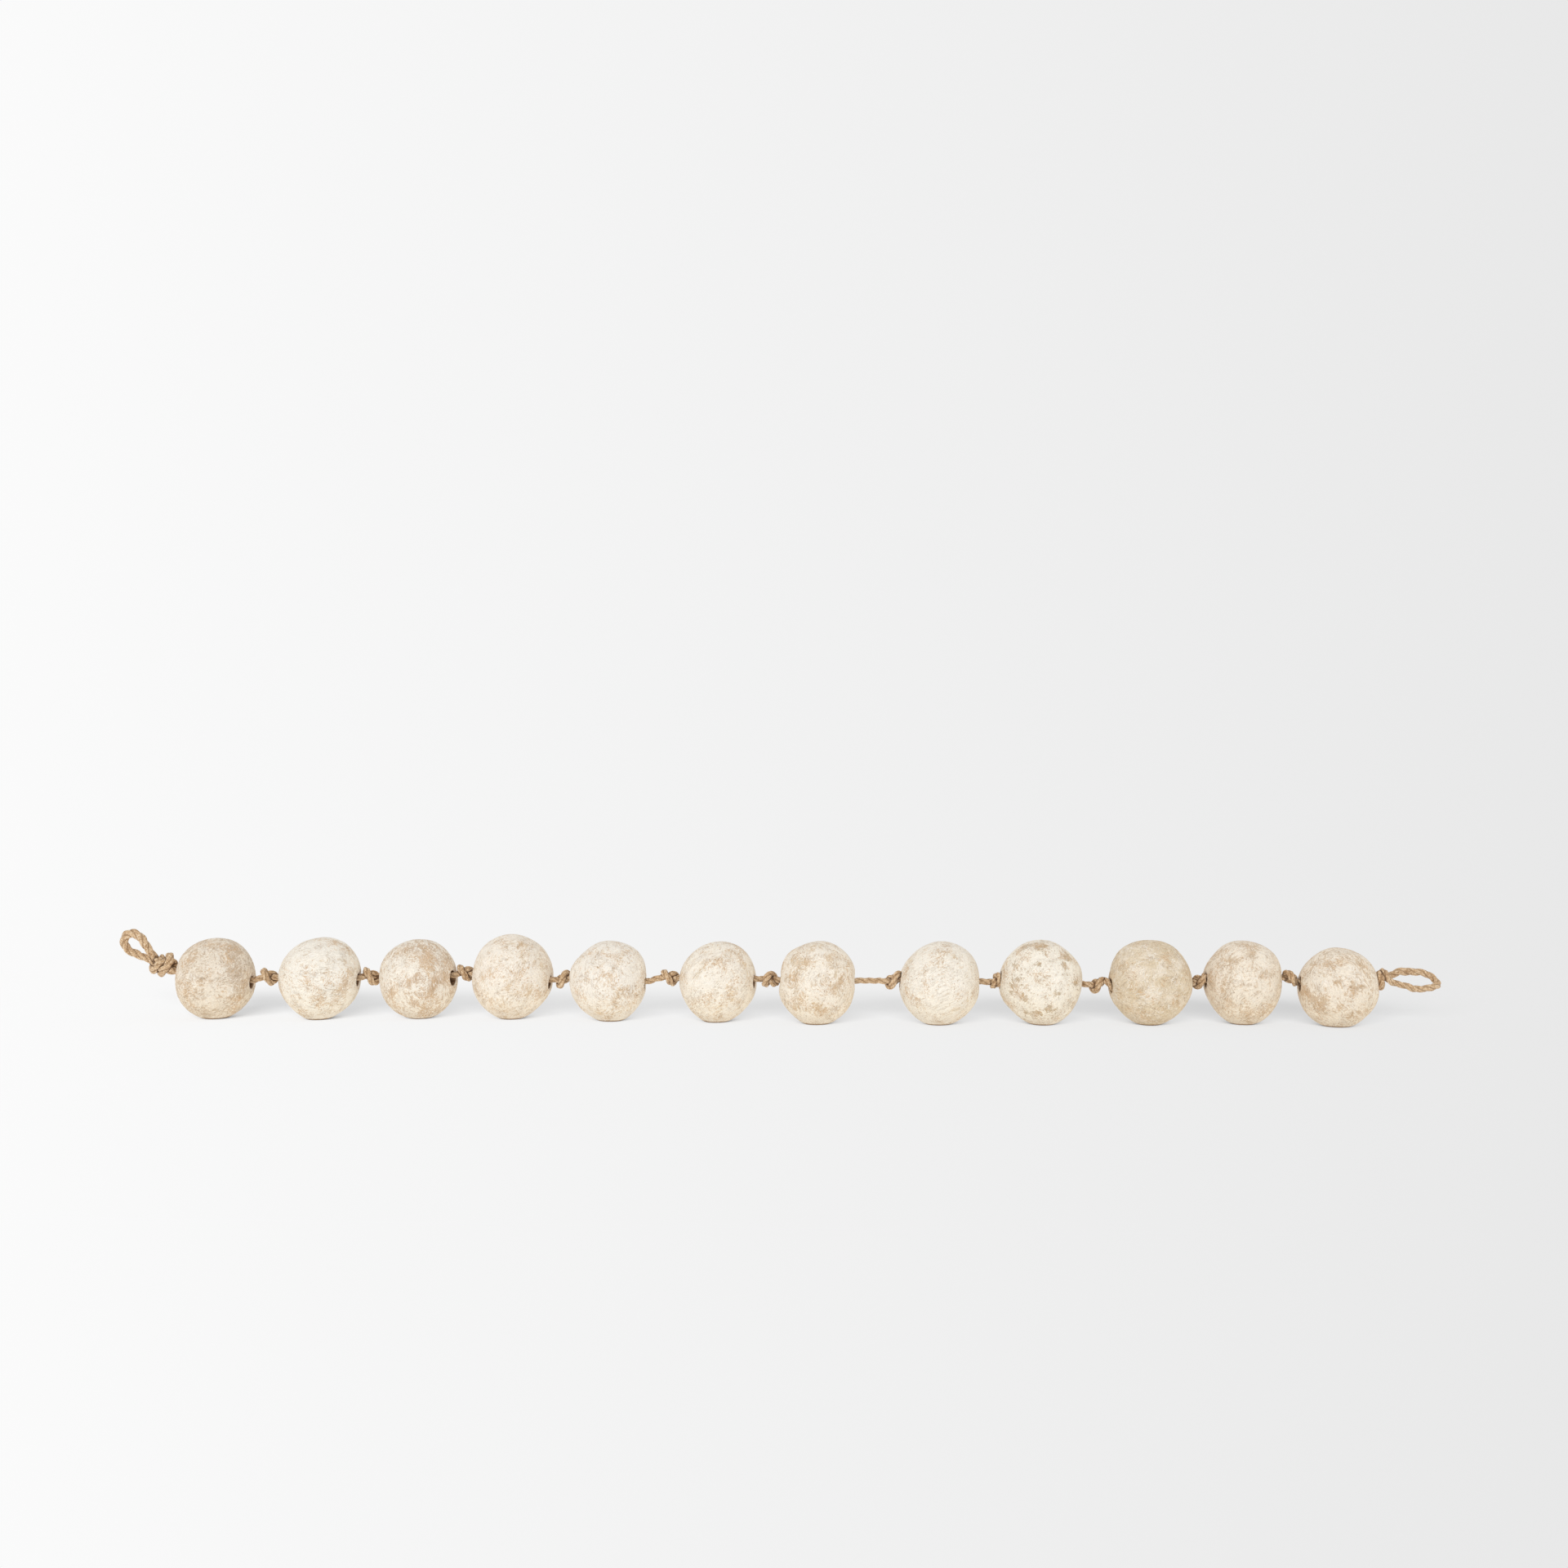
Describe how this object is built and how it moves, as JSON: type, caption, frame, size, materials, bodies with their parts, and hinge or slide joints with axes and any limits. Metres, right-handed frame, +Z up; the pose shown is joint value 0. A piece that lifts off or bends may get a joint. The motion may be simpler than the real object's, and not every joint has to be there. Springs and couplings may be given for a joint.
{
  "type": "papier-mache ball garland",
  "caption": "Straight row of lumpy papier-mache balls on a jute cord, an overhand knot in each gap and a hanging loop at each end, lying on a flat surface.",
  "frame": {"origin": "under the middle of the row, on the surface that the balls rest on", "axes": "+X along the row from the left loop to the right loop, +Y away from the viewer, +Z up"},
  "size_m": [1.2195, 0.0954, 0.0816],
  "materials": {
    "paper_beige": "matte pulp, beige whitewash",
    "paper_pale": "matte pulp, nearly white whitewash",
    "paper_cream": "matte pulp, cream whitewash over tan",
    "paper_khaki": "matte pulp, tan with thin whitewash",
    "jute": "three-ply twisted jute, dry and fibrous"
  },
  "bodies": {
    "root": {"ball_01": "paper_beige", "ball_02": "paper_pale", "ball_03": "paper_cream", "ball_04": "paper_cream", "ball_05": "paper_pale", "ball_06": "paper_cream", "ball_07": "paper_beige", "ball_08": "paper_pale", "ball_09": "paper_pale", "ball_10": "paper_khaki", "ball_11": "paper_beige", "ball_12": "paper_cream", "cord_01": "jute", "cord_02": "jute", "cord_03": "jute", "cord_04": "jute", "cord_05": "jute", "cord_06": "jute", "cord_07": "jute", "cord_08": "jute", "cord_09": "jute", "cord_10": "jute", "cord_11": "jute", "cord_12": "jute", "knot_01": "jute", "knot_02": "jute", "knot_03": "jute", "knot_04": "jute", "knot_05": "jute", "knot_06": "jute", "knot_07": "jute", "knot_08": "jute", "knot_09": "jute", "knot_10": "jute", "knot_11": "jute", "knot_left": "jute", "knot_right": "jute", "loop_left": "jute", "loop_right": "jute"}
  },
  "joints": []
}
